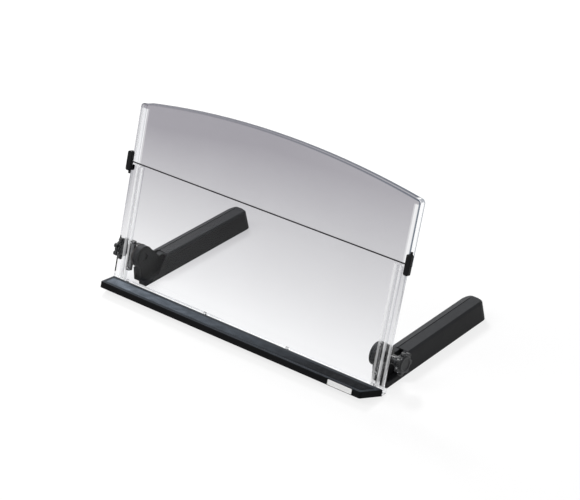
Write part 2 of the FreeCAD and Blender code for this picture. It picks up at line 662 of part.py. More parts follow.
def leg_ear(body, face, outwards):
    """The pillar and the ear with its hub; face is the ear's face with the bolt's head.

    The ear's thickness runs outwards from that face, or inwards on the left leg.
    """
    hub_low = face if outwards else f"({face} - ear_thick)"
    front_cut = new_sketch(body, "YZ_Plane", PILLAR_OUT)
    outline(front_cut, [
        ("leg_front - 5", "rail"), ("leg_front + open_floor", "rail"),
        ("leg_front + open_long", "leg_height + 0.1"), ("leg_front - 5", "leg_height + 0.1")])
    pocket(body, front_cut, reverse=True)
    corner = new_sketch(body, "XY_Plane")
    rectangle(corner, f"{LEG_IN} - 1", "leg_front - 1", PILLAR_OUT, PILLAR_FRONT)
    pocket(body, corner, reverse=True)
    head_room = new_sketch(body, "YZ_Plane", EAR_IN)
    rectangle(head_room, "leg_front", PILLAR_TOP, "leg_front + open_long", "leg_height + 0.1")
    pocket(body, head_room, "pillar", reverse=True)

    pillar = new_sketch(body, "XY_Plane", "foot_drop")
    rectangle(pillar, EAR_IN, PILLAR_FRONT, PILLAR_OUT, f"{NOTCH_END} + leg_wall")
    pad(body, pillar, f"{PILLAR_TOP} - foot_drop")
    under_top = "leg_height - leg_wall / 2"
    web = outline(new_sketch(body, "YZ_Plane", hub_low), [
        (PILLAR_FRONT, f"{PILLAR_TOP} - 2"), (f"{NOTCH_END} + leg_wall", f"{PILLAR_TOP} - 2"),
        (f"{NOTCH_END} + leg_wall", COVER_TOP), ("leg_front + open_long + leg_wall", COVER_TOP),
        ("leg_front + open_long + leg_wall", under_top), ("leg_front + ear_root", under_top),
        (f"{AXIS_Y} + hub * cos(50)", f"{AXIS_Z} + hub * sin(50)"), (AXIS_Y, AXIS_Z),
        (PILLAR_FRONT, AXIS_Z)])
    pad(body, web, "ear_thick")
    pad(body, circle(new_sketch(body, "YZ_Plane", hub_low), AXIS_Y, AXIS_Z, "hub"), "ear_thick")

    sign = "-" if outwards else "+"
    top = f"({face} {sign} collar_rise)"
    pad(body, circle(new_sketch(body, "YZ_Plane", face), AXIS_Y, AXIS_Z, "collar"),
        "collar_rise", reverse=outwards)
    bore = circle(new_sketch(body, "YZ_Plane", top), AXIS_Y, AXIS_Z, BORE)
    pocket(body, bore, "collar_rise + ear_thick", reverse=outwards)
    head = hexagon(new_sketch(body, "YZ_Plane", top), AXIS_Y, AXIS_Z, "bolt_flats + 2 * running")
    pocket(body, head, "collar_rise + bolt_head_sink + bolt_head_thick", reverse=outwards)

    flutes = new_sketch(body, "XZ_Plane", f"-{PILLAR_FRONT}")
    for third in (1, 2):
        left = f"({EAR_IN} + pillar * {third} / 3 - flute / 2)"
        rectangle(flutes, left, f"{COVER_TOP} + 1", f"{left} + flute", f"{COVER_TOP} + 1 + flute_long")
    pocket(body, flutes, "flute_sink")


def make_leg(side, place):
    """The hollow leg: one moulding for both sides but for the side of its bolt's seat."""
    body = new_body(f"{side}_leg", place)
    leg_shell(body)
    outwards = side == "right"
    leg_ear(body, EAR_IN if outwards else PILLAR_OUT, outwards)
    return body


def make_cover(side, place):
    """The flat cover pressed into a leg from below, with seats for its feet."""
    body = new_body(f"{side}_leg_cover", place)
    inset = "(leg_wall / cos(leg_draft) + cover_thick * tan(leg_draft) + cover_play)"
    plan = cover_plan(new_sketch(body, "XY_Plane", "foot_drop"), inset)
    pad(body, plan, "cover_thick")
    feet = new_sketch(body, "XY_Plane", "foot_drop")
    for y in foot_places():
        circle(feet, LEG_MID, y, "foot_radius + running")
    pocket(body, feet, "foot_sink", reverse=True)
    return body


def make_foot(label, place, y):
    """A rubber disc foot in its seat under the leg."""
    body = new_body(label, place)
    pad(body, circle(new_sketch(body, "XY_Plane"), LEG_MID, y, "foot_radius"),
        "foot_drop + foot_sink")
    return body


# ---------------------------------------------------------------- line guide
def make_clip(label, place, tab, upright):
    """A clip that slides on the panel's edge; x points away from the panel.

    A short hook with a lip holds the side strip from behind, below the strip's upper end, so
    that the rest of the clip can reach up beside the flange.  A clip that isn't upright is
    turned over.
    """
    body = new_body(label, place)
    front = new_sketch(body, "XZ_Plane", "clip_front")
    rectangle(front, "-clip_in", "-clip_long / 2", "clip_out", "clip_long / 2")
    pad(body, front, "clip_front + sheet + clip_back", reverse=True)
    soften(body, "Fillet", "clip_round", lambda e: runs_along(e, 1))
    soften(body, "Chamfer", "clip_edge", lambda e: near(middle_of(e).y, "-clip_front", 0.01))
    end = circle(new_sketch(body, "XY_Plane", "clip_long / 2 - 2"), tab, "-clip_front / 2", "tab")
    pad(body, end, "tab_long + 2")
    slot = new_sketch(body, "XY_Plane")
    rectangle(slot, "-clip_in - 1", "-clip_play", "clip_play", "sheet + clip_play")
    pocket(body, slot, "clip_long * 2", middle=True)
    relief = new_sketch(body, "XZ_Plane", "-sheet / 2")
    lip_end = "(clip_long / 2 - lip_long)"
    if upright:
        rectangle(relief, "-clip_in - 1", f"-{lip_end}", "clip_out + 1", "clip_long")
    else:
        rectangle(relief, "-clip_in - 1", "-clip_long", "clip_out + 1", lip_end)
    pocket(body, relief)
    side = new_sketch(body, "XZ_Plane")
    rectangle(side, "clip_play + clip_hook", "-clip_long", "clip_out + 1", "clip_long")
    pocket(body, side)
    bore = circle(new_sketch(body, "YZ_Plane"), "-cord_off", "0", "cord + running")
    pocket(body, bore, "4 * clip_out", middle=True)
    seat = circle(new_sketch(body, "YZ_Plane", "ferrule_seat"), "-cord_off", "0",
                  "ferrule + running")
    pocket(body, seat, reverse=True)
    return body


def make_ferrule(label, place):
    """The crimped ring that keeps the cord's end in its clip."""
    return turned(label, [
        ("ferrule_seat", "cord + running"), ("ferrule_seat + ferrule_long", "cord + running"),
        ("ferrule_seat + ferrule_long", "ferrule - 0.3"),
        ("ferrule_seat + ferrule_long - 0.3", "ferrule"), ("ferrule_seat", "ferrule")], place)


def make_cord():
    """The elastic cord, one straight run from ferrule to ferrule."""
    body = new_body("line_guide_cord", ON_PANEL)
    section = circle(new_sketch(body, "YZ_Plane"), "-cord_off", "clip_up", "cord")
    pad(body, section, "panel_width + 2 * (ferrule_seat + ferrule_long)", middle=True)
    return body


# ---------------------------------------------------------------- assembly
def build():
    """All sub-parts, each one labelled with its file's name."""
    parts = [make_panel(), make_shelf(), make_mat()]
    backwards = Rotation(Vector(1, 0, 0), -90)
    parts.append(screw_set(
        "shelf_screws", ON_PANEL,
        [(number(x), number("foot_depth"), number("shelf_screw_up"))
         for x in shelf_screw_places()],
        "foot_depth + foot_screw_grip", backwards))

    for side, place in LEG_SIDES:
        parts += [make_leg(side, place), make_cover(side, place)]
        for name, y in zip(("front_foot", "rear_foot"), foot_places()):
            parts.append(make_foot(f"{side}_{name}", place, y))

    right = [make_bracket(), make_bolt(), make_knob()]
    right.append(screw_set(
        "right_bracket_screws", ON_PANEL,
        [(number(BRACKET_MID), number(f"{SEAT} + bracket_plate"), number(up))
         for up in bracket_screw_places()],
        "bracket_plate + bracket_screw_grip", backwards))
    right.append(ring("right_clutch_washer", CLUTCH_IN, f"({CLUTCH_IN} + clutch)", BORE,
                      "clutch_radius"))
    right.append(ring("right_sleeve", f"({BRACKET_OUT} + face_gap)", f"({WASHER_IN} - face_gap)",
                      BORE, "sleeve"))
    right.append(ring("right_washer", WASHER_IN, WASHER_OUT, BORE, "washer"))
    left = [mirrored(part.Label.replace("right_", "left_"), part) for part in right]

    flip = " * rotation(vector(0; 1; 0); 180)"
    guide = [
        make_clip("right_clip", in_panel_frame(HALF, "0", "clip_up"), "tab_right", True),
        make_clip("left_clip", in_panel_frame(f"-{HALF}", "0", "clip_up", flip), "tab_left", False),
        make_ferrule("right_ferrule", in_panel_frame(HALF, "-cord_off", "clip_up")),
        make_ferrule("left_ferrule", in_panel_frame(f"-{HALF}", "-cord_off", "clip_up", flip)),
        make_cord()]
    return parts + right + left + guide


def check(parts):
    """Stop on any failed object or unsound shape."""
    doc.recompute()
    for thing in doc.Objects:
        if "Invalid" in thing.State or "Error" in thing.State:
            raise RuntimeError(f"{thing.Label} failed: {thing.State}")
    for part in parts:
        if part.Shape.isNull() or not part.Shape.isValid() or not part.Shape.Solids:
            raise RuntimeError(f"{part.Label} has no sound shape")


def write(parts):
    """One STEP file for each sub-part."""
    os.makedirs("parts", exist_ok=True)
    for part in parts:
        part.Shape.exportStep(f"parts/{part.Label}.step")
        box = part.Shape.BoundBox
        print(f"{part.Label}: {len(part.Shape.Solids)} solid(s), {part.Shape.Volume:.0f} mm3, "
              f"{box.XLength:.1f} x {box.YLength:.1f} x {box.ZLength:.1f}")


pieces = build()
check(pieces)
write(pieces)
whole = Part.makeCompound([piece.Shape for piece in pieces]).BoundBox
print(f"whole: {whole.XMin:.2f}..{whole.XMax:.2f}, {whole.YMin:.2f}..{whole.YMax:.2f}, "
      f"{whole.ZMin:.2f}..{whole.ZMax:.2f}")
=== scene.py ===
"""Dresses the copy holder in its finishes and sets it on a plain studio floor.

Lengths are in metres, in the frame of the solid model: +X to the right, +Y to the back and
+Z up, with the origin on the desk at the middle of the footprint.
"""
import logging
import math
from dataclasses import dataclass
from enum import Enum
from typing import Callable, Optional

import bpy
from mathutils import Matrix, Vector


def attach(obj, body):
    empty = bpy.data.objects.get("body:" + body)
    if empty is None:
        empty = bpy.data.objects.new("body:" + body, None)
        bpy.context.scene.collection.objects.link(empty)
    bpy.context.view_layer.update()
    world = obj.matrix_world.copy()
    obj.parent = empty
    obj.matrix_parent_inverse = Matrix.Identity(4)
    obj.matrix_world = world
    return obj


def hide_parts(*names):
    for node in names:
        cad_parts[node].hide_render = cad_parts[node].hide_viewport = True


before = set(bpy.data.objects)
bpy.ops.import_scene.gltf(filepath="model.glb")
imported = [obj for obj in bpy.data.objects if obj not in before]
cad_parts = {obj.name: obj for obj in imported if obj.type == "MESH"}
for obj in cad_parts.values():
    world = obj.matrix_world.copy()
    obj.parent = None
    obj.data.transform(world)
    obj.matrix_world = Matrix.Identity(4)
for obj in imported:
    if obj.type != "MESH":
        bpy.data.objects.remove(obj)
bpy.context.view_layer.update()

LOG = logging.getLogger("copy_holder")

Colour = tuple[float, float, float]
Point = tuple[float, float, float]
Socket = bpy.types.NodeSocket

WHITE: Colour = (1.0, 1.0, 1.0)


class Side(Enum):
    """The two sides of the holder, as seen from the page side."""

    LEFT = -1
    RIGHT = 1

    @property
    def word(self) -> str:
        """The side's prefix in piece and body names.

        Returns:
            The word left or right.
        """
        return self.name.lower()


@dataclass(frozen=True)
class Lean:
    """The leaning panel's own frame.

    Attributes:
        angle: lean of the panel from upright, in radians.
        front: place of the panel's front foot edge along Y.
    """

    angle: float = math.radians(16.3)
    front: float = -0.1048

    def point(self, across: float, back: float, up: float) -> Vector:
        """A point of the panel's frame in the holder's frame.

        Args:
            across: distance to the right of the middle.
            back: distance behind the panel's front face.
            up: distance up along the panel.

        Returns:
            The point in the holder's frame.
        """
        y = self.front + up * math.sin(self.angle) + back * math.cos(self.angle)
        z = up * math.cos(self.angle) - back * math.sin(self.angle)
        return Vector((across, y, z))

    @property
    def upward(self) -> Point:
        """The direction up along the panel.

        Returns:
            The direction, of length 1.
        """
        return (0.0, math.sin(self.angle), math.cos(self.angle))

    @property
    def forward(self) -> Point:
        """The direction that the panel's front faces.

        Returns:
            The direction, of length 1.
        """
        return (0.0, -math.cos(self.angle), math.sin(self.angle))


LEAN = Lean()


# ------------------------------------------------------------------ modelling by hand
def drop_selection() -> None:
    """Leaves edit mode and deselects every object."""
    if bpy.context.mode != "OBJECT":
        bpy.ops.object.mode_set(mode="OBJECT")
    bpy.ops.object.select_all(action="DESELECT")


def take(piece: bpy.types.Object) -> bpy.types.Object:
    """Selects one object and makes it the active one.

    Args:
        piece: the object to work on.

    Returns:
        The same object.
    """
    drop_selection()
    piece.select_set(True)
    bpy.context.view_layer.objects.active = piece
    return piece


def unmark(piece: bpy.types.Object) -> bpy.types.Mesh:
    """Takes a piece and deselects every part of its mesh.

    Args:
        piece: the object to work on.

    Returns:
        The object's mesh.
    """
    take(piece)
    mesh = piece.data
    for parts in (mesh.vertices, mesh.edges, mesh.polygons):
        for part in parts:
            part.select = False
    return mesh


def edit(kind: str) -> None:
    """Enters edit mode.

    Args:
        kind: what is selected there, FACE or EDGE.
    """
    bpy.ops.object.mode_set(mode="EDIT")
    bpy.ops.mesh.select_mode(type=kind)


def select_faces(piece: bpy.types.Object, wanted: Callable[[bpy.types.MeshPolygon], bool]) -> None:
    """Selects the faces of a piece that a test accepts, and enters edit mode.

    Args:
        piece: the object whose faces are tested.
        wanted: the test, given a face.
    """
    for face in unmark(piece).polygons:
        face.select = wanted(face)
    edit("FACE")


def select_edges(piece: bpy.types.Object, wanted: Callable[[Vector, Vector], bool]) -> None:
    """Selects the edges of a piece that a test accepts, and enters edit mode.

    Args:
        piece: the object whose edges are tested.
        wanted: the test, given an edge's two ends.
    """
    mesh = unmark(piece)
    for edge in mesh.edges:
        edge.select = wanted(*(mesh.vertices[i].co for i in edge.vertices))
    edit("EDGE")


def apply_modifier(piece: bpy.types.Object, kind: str, **settings: object) -> None:
    """Adds a modifier with its settings and applies it.

    Args:
        piece: the object to change.
        kind: Blender's name of the modifier's type.
        **settings: the modifier's settings.
    """
    take(piece)
    modifier = piece.modifiers.new(kind.lower(), kind)
    for key, value in settings.items():
        setattr(modifier, key, value)
    bpy.ops.object.modifier_apply(modifier=modifier.name)


def settle(piece: bpy.types.Object) -> None:
    """Puts a piece's place into its mesh, so that its object sits at the origin.

    Args:
        piece: the object to settle.
    """
    take(piece)
    bpy.ops.object.transform_apply(location=True, rotation=True, scale=True)


def smooth(piece: bpy.types.Object, angle: float = 35.0) -> None:
    """Shades a piece smooth up to an angle.

    Args:
        piece: the object to shade.
        angle: the largest angle between two faces that look like one, in degrees.
    """
    take(piece)
    bpy.ops.object.shade_smooth_by_angle(angle=math.radians(angle))


# ------------------------------------------------------------------ finishes
class Nodes:
    """A node tree, with short calls for what the finishes and the studio share."""

    def __init__(self, tree: bpy.types.NodeTree) -> None:
        """Empties the tree.

        Args:
            tree: the tree to fill.
        """
        self.tree = tree
        self.tree.nodes.clear()

    def wire(self, value: object, socket: Socket) -> None:
        """Links an output to an input, or sets the input to a plain value.

        Args:
            value: an output socket, a number, a vector or a colour.
            socket: the input.
        """
        if isinstance(value, Socket):
            self.tree.links.new(value, socket)
        elif isinstance(value, tuple) and socket.type == "RGBA":
            socket.default_value = (*value, 1.0)
        else:
            socket.default_value = value

    def node(self, kind: str, inputs: Optional[dict] = None, **settings: object) -> bpy.types.Node:
        """Adds a node.

        Args:
            kind: the node's type, without the leading ShaderNode.
            inputs: values or output sockets for its inputs, by name or number.
            **settings: the node's own settings.

        Returns:
            The new node.
        """
        made = self.tree.nodes.new(f"ShaderNode{kind}")
        for key, value in settings.items():
            setattr(made, key, value)
        for key, value in (inputs or {}).items():
            self.wire(value, made.inputs[key])
        return made

    def math(self, operation: str, first: object, second: object = 0.0) -> Socket:
        """One step of arithmetic.

        Args:
            operation: Blender's name of the operation.
            first: the first value or socket.
            second: the second one.

        Returns:
            The result.
        """
        return self.node("Math", {0: first, 1: second}, operation=operation).outputs["Value"]

    def mix(self, share: object, first: Socket, second: Socket) -> Socket:
        """A mix of two shaders.

        Args:
            share: share of the second shader.
            first: the first shader.
            second: the second shader.

        Returns:
            The mixed shader.
        """
        return self.node("MixShader", {0: share, 1: first, 2: second}).outputs["Shader"]

    def seen(self) -> Socket:
        """Which rays see a thing: straight on, mirrored or through a clear piece.

        Returns:
            1 for those rays and 0 for the ones that only carry light.
        """
        rays = self.node("LightPath").outputs
        return self.math("MAXIMUM", rays["Is Camera Ray"],
                         self.math("MAXIMUM", rays["Is Glossy Ray"], rays["Is Transmission Ray"]))


class Shading(Nodes):
    """A material's nodes, which start from one Principled shader."""

    EDGE_COSINES = (0.72, 0.995)
    BEVEL_SAMPLES = 6

    def __init__(self, name: str) -> None:
        """Starts a material that holds one Principled shader.

        Args:
            name: the material's name.
        """
        self.material = bpy.data.materials.new(name)
        self.material.use_nodes = True
        super().__init__(self.material.node_tree)
        self.output = self.node("OutputMaterial")
        self.shader = self.node("BsdfPrincipled")
        self.show(self.shader.outputs["BSDF"])
        self.place = self.node("TexCoord").outputs["Object"]

    def show(self, shader: Socket) -> None:
        """Makes a shader the material's surface.

        Args:
            shader: the shader.
        """
        self.wire(shader, self.output.inputs["Surface"])

    def give(self, **inputs: object) -> None:
        """Sets inputs of the Principled shader.

        Args:
            **inputs: values or sockets, an underscore in a name standing for a space.
        """
        for key, value in inputs.items():
            self.wire(value, self.shader.inputs[key.replace("_", " ")])

    def noise(self, size: float, detail: float = 2.0) -> Socket:
        """A noise whose blotches are about one size across.

        Args:
            size: the blotches' size.
            detail: octaves of finer noise.

        Returns:
            The noise's value, from 0 to 1.
        """
        made = self.node("TexNoise", {"Vector": self.place, "Scale": 1.0 / size, "Detail": detail})
        return made.outputs["Fac"]

    def scale(self, value: Socket, low: float, high: float, start: float = 0.35,
              end: float = 0.65) -> Socket:
        """Maps a value from one range to another.

        Args:
            value: the value to map.
            low: the result at start.
            high: the result at end.
            start: where the range starts.
            end: where the range ends.

        Returns:
            The mapped value.
        """
        made = self.node("MapRange", {"Value": value, "From Min": start, "From Max": end,
                                      "To Min": low, "To Max": high})
        return made.outputs["Result"]

    def across(self) -> Socket:
        """Distance to the right of the holder's middle.

        Returns:
            The distance.
        """
        return self.node("SeparateXYZ", {"Vector": self.place}).outputs["X"]

    def facing(self, way: Point) -> Socket:
        """How far a face looks one way in the piece's own frame.

        Args:
            way: the direction, of length 1.

        Returns:
            The cosine of the angle between the face's normal and the direction.
        """
        normal = self.node("NewGeometry").outputs["True Normal"]
        own = self.node("VectorTransform", {"Vector": normal}, vector_type="NORMAL",
                        convert_from="WORLD", convert_to="OBJECT")
        dot = self.node("VectorMath", {0: own.outputs["Vector"], 1: way}, operation="DOT_PRODUCT")
        return dot.outputs["Value"]

    def blend(self, share: object, first: object, second: object) -> Socket:
        """A mix of two colours.

        Args:
            share: share of the second colour.
            first: the first colour.
            second: the second colour.

        Returns:
            The mixed colour.
        """
        made = self.node("Mix", data_type="RGBA")
        sockets = [socket for socket in made.inputs if socket.enabled]
        for socket, value in zip(sockets, (share, first, second)):
            self.wire(value, socket)
        return next(socket for socket in made.outputs if socket.enabled)

    def bump(self, height: Socket, depth: float, over: Optional[Socket] = None) -> Socket:
        """A surface relief.

        Args:
            height: the relief, from 0 to 1.
            depth: the height of a full step.
            over: the normal that the relief sits on.

        Returns:
            The new normal.
        """
        inputs: dict = {"Height": height, "Distance": depth, "Strength": 1.0}
        if over is not None:
            inputs["Normal"] = over
        return self.node("Bump", inputs).outputs["Normal"]

    def rounded(self, radius: float) -> Socket:
        """The normal of faces whose edges look rounded.

        Args:
            radius: the edges' rounding.

        Returns:
            The normal.
        """
        made = self.node("Bevel", {"Radius": radius}, samples=self.BEVEL_SAMPLES)
        return made.outputs["Normal"]

    def edges(self, rounded: Socket) -> Socket:
        """A mask of where edges are.

        Args:
            rounded: the normal with rounded edges.

        Returns:
            A value from 0 on a face to 1 on an edge.
        """
        flat = self.node("NewGeometry").outputs["Normal"]
        along = self.node("VectorMath", {0: rounded, 1: flat}, operation="DOT_PRODUCT")
        return self.scale(along.outputs["Value"], 1.0, 0.0, *self.EDGE_COSINES)


@dataclass(frozen=True)
class Finish:
    """A surface finish.

    Attributes:
        name: the material's name.
        slot: the record's material slot that it stands for; it is not used.
    """

    name: str
    slot: str

    def material(self) -> bpy.types.Material:
        """The finish's material, made when it is first asked for.

        Returns:
            The material.
        """
        found = bpy.data.materials.get(self.name)
        if found is None:
            shading = Shading(self.name)
            self.build(shading)
            found = shading.material
        return found

    def build(self, s: Shading) -> None:
        """Wires the finish's nodes.

        Args:
            s: the empty material to fill.
        """
        raise NotImplementedError

    def dress(self, piece: bpy.types.Object) -> None:
        """Puts the finish on a piece.

        Args:
            piece: the object to dress.
        """
        slots = piece.material_slots
        if len(slots) == 0:
            piece.data.materials.append(self.material())
        for held in slots:
            held.material = self.material()


@dataclass(frozen=True)
class Moulded(Finish):
    """Spark-textured or polished moulded plastic.

    Attributes:
        colour: the plastic's colour.
        pale_edge: its paler colour along edges, painted in place of the light they catch.
        rough: its roughness.
        grain: the texture's grain size.
        relief: the texture's depth.
        edge: the rounding that its edges show.
        gloss: its specular level, where 0.5 is bare plastic.
        pale_top: its paler colour on upward faces, or none. It is painted, in place of light
            from above, and isn't dust.
        deep: share of the colour that its deeper patches have.
        level: cosines of a face's slope where that colour starts and is full.
        coarse: size, in grains, and share of a coarser grain.
        spread: how far its roughness goes below and above the middle.
    """

    colour: Colour = (0.02, 0.02, 0.022)
    pale_edge: Colour = (0.05, 0.05, 0.054)
    rough: float = 0.45
    grain: float = 0.0006
    relief: float = 0.00003
    edge: float = 0.0005
    gloss: float = 0.15
    pale_top: Optional[Colour] = None
    deep: float = 0.82
    level: tuple[float, float] = (0.55, 0.95)
    coarse: tuple[float, float] = (3.5, 0.3)
    spread: tuple[float, float] = (-0.06, 0.08)

    def build(self, s: Shading) -> None:
        """Wires blotchy colour, paler upward faces and edges, and a fine grain.

        Args:
            s: the empty material to fill.
        """
        rounded = s.rounded(self.edge)
        at_edge = s.math("MULTIPLY", s.edges(rounded), s.scale(s.noise(0.004, 4.0), 0.0, 0.8))
        deep = tuple(self.deep * part for part in self.colour)
        cloudy = s.blend(s.scale(s.noise(0.03, 3.0), 0.0, 1.0), self.colour, deep)
        if self.pale_top:
            upward = s.scale(s.facing((0.0, 0.0, 1.0)), 0.0, 1.0, *self.level)
            on_top = s.math("MULTIPLY", upward, s.scale(s.noise(0.008, 4.0), 0.7, 1.0))
            cloudy = s.blend(on_top, cloudy, self.pale_top)
        grains, share = self.coarse
        grain = s.math("ADD", s.math("MULTIPLY", s.noise(self.grain, 3.0), 1.0 - share),
                       s.math("MULTIPLY", s.noise(self.grain * grains, 2.0), share))
        s.give(Base_Color=s.blend(at_edge, cloudy, self.pale_edge),
               Roughness=s.scale(grain, *(self.rough + away for away in self.spread)),
               Normal=s.bump(grain, self.relief, rounded))
        s.give(IOR=1.5, Specular_IOR_Level=self.gloss)


@dataclass(frozen=True)
class ClearSheet(Finish):
    """Clear polished moulding with a dark reflection painted towards its top, but for rims and
    ribs.

    Its flat faces are a thin film that light passes straight, and its flanges refract. Heights
    are along the panel and widths from its middle.

    The bright bands, the shift of the rims, the uneven strength of the dark line and the
    thinning of the dark reflection are painted in fixed places. They were set from the camera's
    own side, in place of light that the form would gather, and may be wrong from others.

    Attributes:
        low: its colour at the foot.
        high: its colour at the top, where the painted dark reflection is full.
        top: height where the painted reflection is full.
        drift: share by which the painted reflection thins towards the right, for each metre.
        cloud: size and height of the painted reflection's unevenness.
        rim_in: where the clear rims start.
        rim_shift: how far the painted reflection is set to the right, which widens the left rim.
        rim_low: height of the clear rims' lower ends.
        rim_high: height of their upper ends.
        rim_reflection: share of the painted reflection that clear places keep.
        fade: width over which the painted reflection starts and stops.
        flatness: cosines between which a face turns from flange to flat.
        side: the panel's half width.
        crown: height of the crown's middle.
        bow: radius of the crown.
        line: width of the painted dark line along the outline.
        line_dark: the line's colour.
        line_left: share of the line that is left at the left side.
        line_foot: height where the line ends.
        ribs: middle, half width and strength of each painted highlight band beside a side rib.
        rib: middle and half width of the painted dark band over it.
        rib_dark: share of the line's colour in that band.
        border: middle and half width of the painted highlight along the right strip's border.
        soft: where a band starts to fade and ends, in half widths.
        edge: the rounding that its edges show.
        haze: its least and greatest roughness.
        ripple: height of the waves in its faces.
        index: its index of refraction.
        level: specular level of its flanges.
        shine: share of light that the flat faces mirror.
        gloss: roughness of what they mirror.
        catch: colour of a bright band, painted in place of light that a rib gathers.
        gleam: share of that colour at the band's middle.
    """

    low: Colour = (0.96, 0.965, 0.975)
    high: Colour = (0.34, 0.33, 0.36)
    top: float = 0.253
    drift: float = 0.48
    cloud: tuple[float, float] = (0.09, 0.012)
    rim_in: float = 0.2174
    rim_shift: float = 0.0019
    rim_low: float = 0.1674
    rim_high: float = 0.2465
    rim_reflection: float = 0.25
    fade: float = 0.001
    flatness: tuple[float, float] = (0.985, 0.995)
    side: float = 0.2285
    crown: float = 0.273
    bow: float = 1.3153
    line: float = 0.0024
    line_dark: Colour = (0.05, 0.065, 0.09)
    line_left: float = 0.4
    line_foot: float = 0.07
    ribs: tuple[tuple[float, float, float], ...] = ((0.218, 0.0012, 1.0), (0.2102, 0.0017, 0.9))
    rib: tuple[float, float] = (0.2146, 0.001)
    rib_dark: float = 0.3
    border: tuple[float, float] = (0.2266, 0.0012)
    soft: tuple[float, float] = (0.6, 1.4)
    edge: float = 0.0005
    haze: tuple[float, float] = (0.012, 0.05)
    ripple: float = 0.00003
    index: float = 1.49
    level: float = 0.25
    shine: float = 0.012
    gloss: float = 0.03
    catch: Colour = (0.93, 0.93, 0.94)
    gleam: float = 0.5

    def band(self, s: Shading, value: Socket, middle: float, half: float) -> Socket:
        """A soft-edged band.

        Args:
            s: the material.
            value: the value that runs across the band.
            middle: the value at its middle.
            half: its half width.

        Returns:
            1 at the band's middle and 0 outside.
        """
        away = s.math("ABSOLUTE", s.math("SUBTRACT", value, middle))
        return s.scale(away, 1.0, 0.0, *(half * part for part in self.soft))

    def height(self, s: Shading) -> Socket:
        """Height above the panel's foot, along the panel.

        Args:
            s: the material.

        Returns:
            The height.
        """
        foot = s.node("VectorMath", {0: s.place, 1: (0.0, LEAN.front, 0.0)}, operation="SUBTRACT")
        rise = s.node("VectorMath", {0: foot.outputs["Vector"], 1: LEAN.upward},
                      operation="DOT_PRODUCT")
        return rise.outputs["Value"]

    def bands(self, s: Shading, along: Socket, across: Socket) -> Socket:
        """The painted highlight bands beside the ribs and along the right border.

        Args:
            s: the material.
            along: distance to the right of the middle.
            across: distance from the middle.

        Returns:
            1 at a full band's middle and 0 outside the bands.
        """
        bright = self.band(s, along, *self.border)
        for middle, half, strength in self.ribs:
            beside = s.math("MULTIPLY", self.band(s, across, middle, half), strength)
            bright = s.math("MAXIMUM", beside, bright)
        return bright

    def outline(self, s: Shading, height: Socket, along: Socket, across: Socket) -> Socket:
        """The dark line along the crown and sides, painted shade, stronger to the right and the
        top.

        Args:
            s: the material.
            height: height along the panel.
            along: distance to the right of the middle.
            across: distance from the middle.

        Returns:
            The line's strength.
        """
        half = self.line / 2
        drop = s.math("SUBTRACT", height, self.crown - self.bow)
        reach = s.math("SQRT", s.math("ADD", s.math("MULTIPLY", drop, drop),
                                      s.math("MULTIPLY", along, along)))
        line = s.math("MAXIMUM", self.band(s, reach, self.bow - half, half),
                      self.band(s, across, self.side - half, half))
        strong = s.math("MULTIPLY", s.scale(along, self.line_left, 1.0, -self.side, self.side),
                        s.scale(height, 0.0, 1.0, self.line_foot, self.rim_low))
        return s.math("MULTIPLY", line, strong)

    def painted_reflection(self, s: Shading, height: Socket, along: Socket, kept: Socket) -> Socket:
        """The painted dark reflection, which thickens towards the top.

        Args:
            s: the material.
            height: height along the panel.
            along: distance to the right of the middle.
            kept: share of the painted reflection that a place keeps.

        Returns:
            The painted reflection's share.
        """
        size, rise = self.cloud
        uneven = s.math("MULTIPLY", s.math("SUBTRACT", s.noise(size, 1.0), 0.5), rise)
        thick = s.scale(s.math("ADD", height, uneven), 0.0, 1.0, 0.0, self.top)
        thinned = s.math("SUBTRACT", 1.0, s.math("MULTIPLY", along, self.drift))
        return s.math("MULTIPLY", s.math("MULTIPLY", thick, thinned), kept)

    def film(self, s: Shading, tint: Socket, bright: Socket) -> Socket:
        """One face of the flat sheet, which bends no light.

        Args:
            s: the material.
            tint: the colour of light that passed both faces.
            bright: strength of the painted highlight bands.

        Returns:
            The shader.
        """
        one_face = s.node("Gamma", {"Color": tint, "Gamma": 0.5}).outputs["Color"]
        through = s.node("BsdfTransparent", {"Color": one_face}).outputs["BSDF"]
        mirror = s.node("BsdfAnisotropic", {"Roughness": self.gloss}).outputs["BSDF"]
        # painted highlight: diffuse white mixed in where the bands are
        caught = s.node("BsdfDiffuse", {"Color": self.catch}).outputs["BSDF"]
        return s.mix(s.math("MULTIPLY", bright, self.gleam), s.mix(self.shine, through, mirror),
                     caught)

    def build(self, s: Shading) -> None:
        """Wires the painted reflection and lines, the film and the light that passes in shadow.

        Args:
            s: the empty material to fill.
        """
        height, along = self.height(s), s.across()
        across = s.math("ABSOLUTE", along)
        flat = s.scale(s.math("ABSOLUTE", s.facing(LEAN.forward)), 0.0, 1.0, *self.flatness)
        shifted = s.math("ABSOLUTE", s.math("SUBTRACT", along, self.rim_shift))
        inside = s.scale(shifted, 1.0, 0.0, self.rim_in, self.rim_in + self.fade)
        below = s.scale(height, 1.0, 0.0, self.rim_low, self.rim_low + self.fade)
        above = s.scale(height, 0.0, 1.0, self.rim_high, self.rim_high + self.fade)
        sheet = s.math("MAXIMUM", flat, s.math("MULTIPLY", above, inside))
        # painted highlight bands, only below the clear rims' lower ends
        bright = s.math("MULTIPLY", self.bands(s, along, across), below)
        dark = s.math("SUBTRACT", s.math("MAXIMUM", inside, s.math("MAXIMUM", below, above)),
                      bright)
        kept = s.math("MULTIPLY", s.math("MAXIMUM", dark, self.rim_reflection), sheet)
        # painted shade over the side ribs
        rib_shade = s.math("MULTIPLY", s.math("MULTIPLY", self.band(s, across, *self.rib), below),
                          self.rib_dark)
        lines = s.math("MAXIMUM", self.outline(s, height, along, across), rib_shade)
